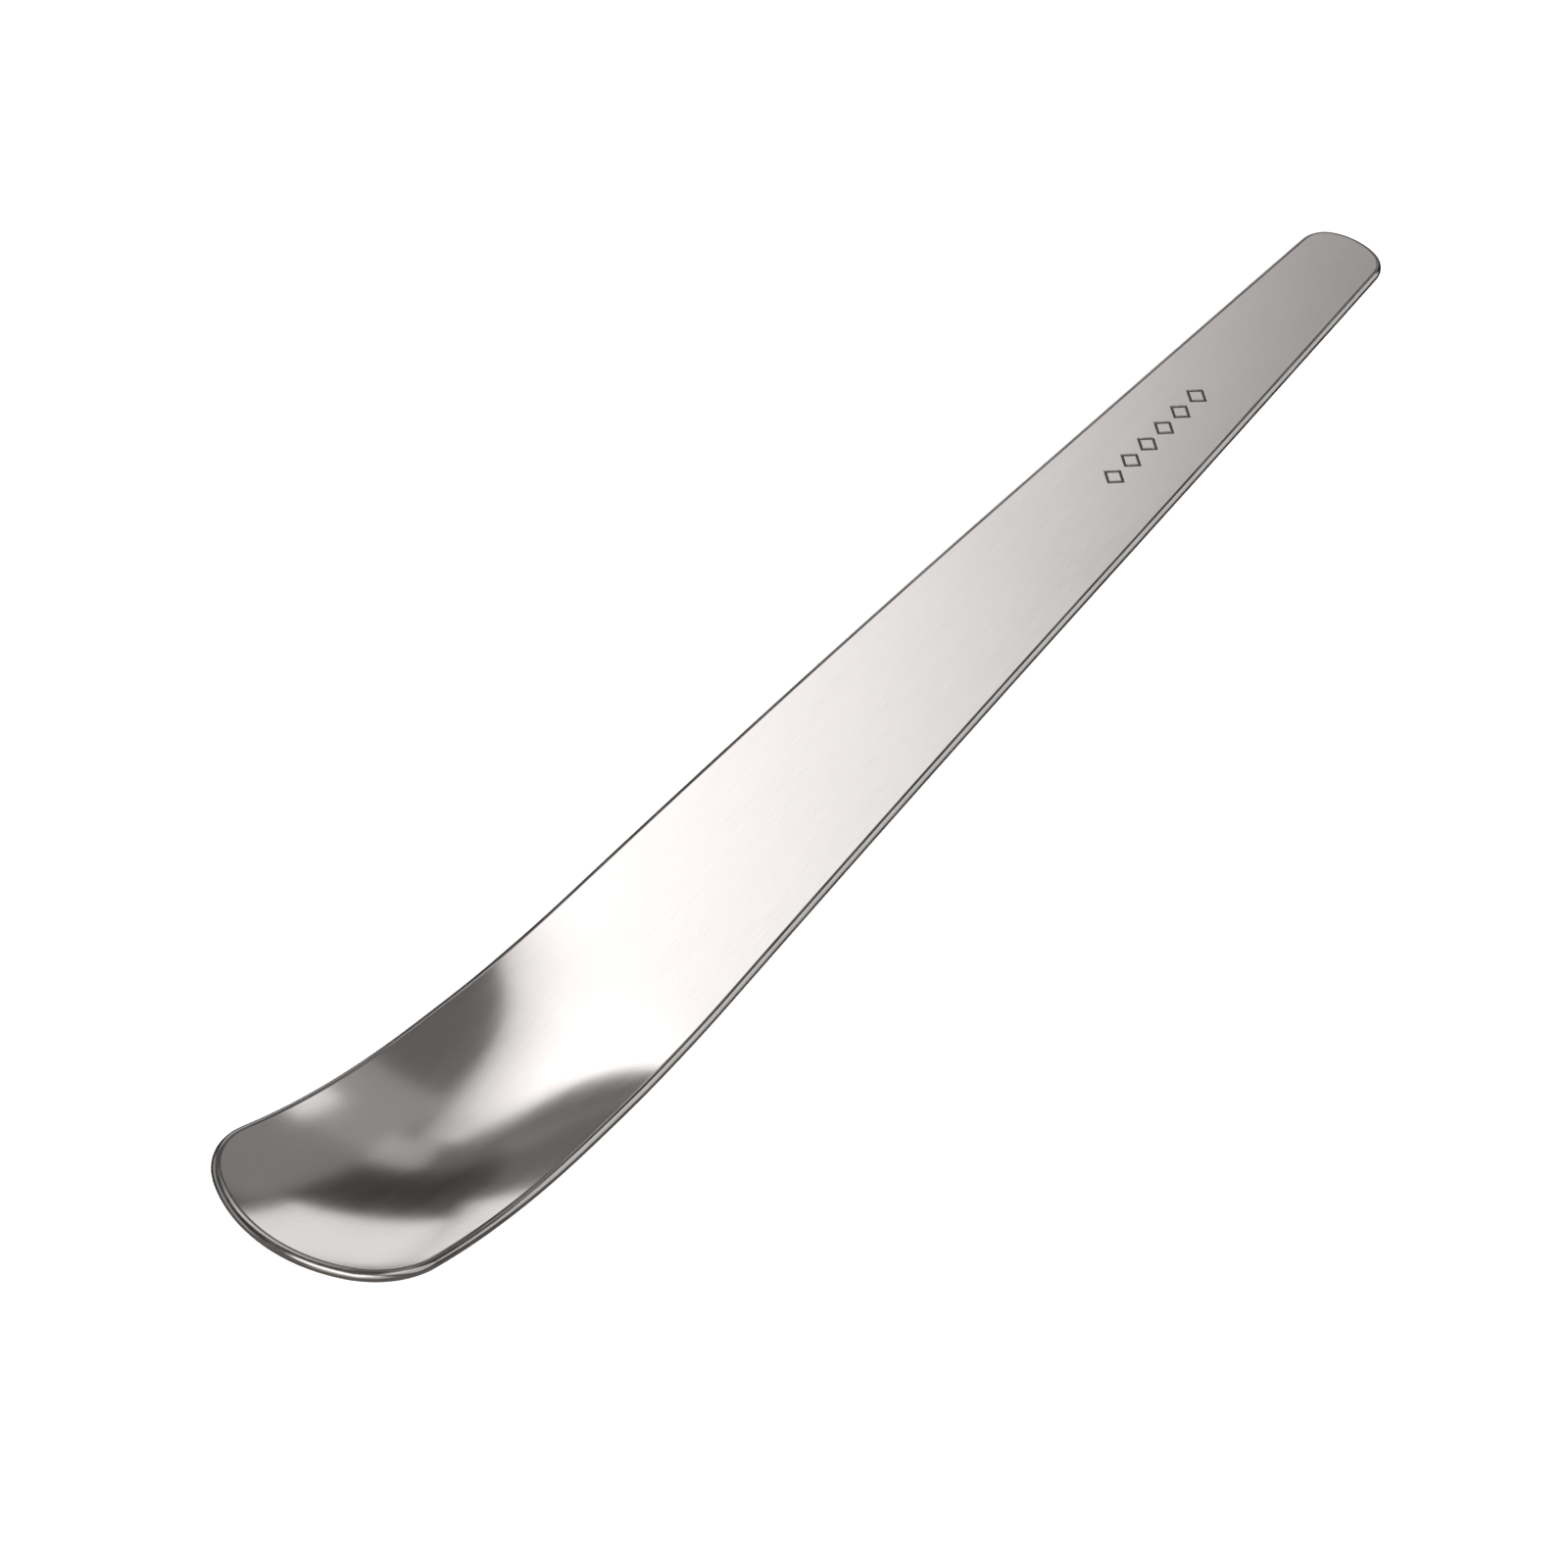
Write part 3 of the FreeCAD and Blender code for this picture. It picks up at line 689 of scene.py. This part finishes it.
def make_world():
    """Dim room: grey below and on the camera's side, almost dark beyond the blade."""
    world = bpy.data.worlds.new("studio")
    world.use_nodes = True
    tree = world.node_tree
    place = tree.nodes.new("ShaderNodeTexCoord")
    towards = tree.nodes.new("ShaderNodeVectorMath")
    towards.operation = "DOT_PRODUCT"
    towards.inputs[1].default_value = (0.75, 0.45, -0.5)
    grey = tree.nodes.new("ShaderNodeMapRange")
    grey.inputs["From Min"].default_value = -0.1
    grey.inputs["From Max"].default_value = 0.35
    grey.inputs["To Min"].default_value = 0.05
    grey.inputs["To Max"].default_value = 0.3
    tree.links.new(place.outputs["Generated"], towards.inputs[0])
    tree.links.new(towards.outputs["Value"], grey.inputs["Value"])
    tree.links.new(grey.outputs["Result"], tree.nodes["Background"].inputs["Strength"])
    tree.nodes["Background"].inputs["Color"].default_value = (1.0, 0.93, 0.88, 1)
    bpy.context.scene.world = world


def make_camera():
    """Camera above the tip's left side, looking down the blade towards the handle end."""
    camera = bpy.data.cameras.new("camera")
    camera.sensor_width = SENSOR_WIDTH
    camera.lens = CAMERA_LENS
    rig = bpy.data.objects.new("camera", camera)
    right = Vector(CAMERA_RIGHT).normalized()
    back = Vector(CAMERA_BACK).normalized()
    up = back.cross(right).normalized()
    axes = Matrix((right, up, back)).transposed()
    rig.matrix_world = Matrix.Translation(CAMERA_PLACE) @ axes.to_4x4()
    bpy.context.scene.collection.objects.link(rig)
    bpy.context.scene.camera = rig


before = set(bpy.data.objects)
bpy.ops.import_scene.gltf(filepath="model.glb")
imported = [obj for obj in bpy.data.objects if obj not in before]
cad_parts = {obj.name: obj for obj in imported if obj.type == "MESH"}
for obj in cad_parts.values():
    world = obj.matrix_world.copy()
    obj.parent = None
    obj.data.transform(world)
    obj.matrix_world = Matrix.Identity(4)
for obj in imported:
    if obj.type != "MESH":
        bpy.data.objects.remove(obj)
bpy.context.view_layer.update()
shoehorn, first_rim_face = make_blade()
dress(shoehorn, first_rim_face)
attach(shoehorn, "root")
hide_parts("shoehorn_blade")
make_floor()
make_lights()
make_world()
make_camera()
bpy.context.scene.view_settings.view_transform = "Standard"
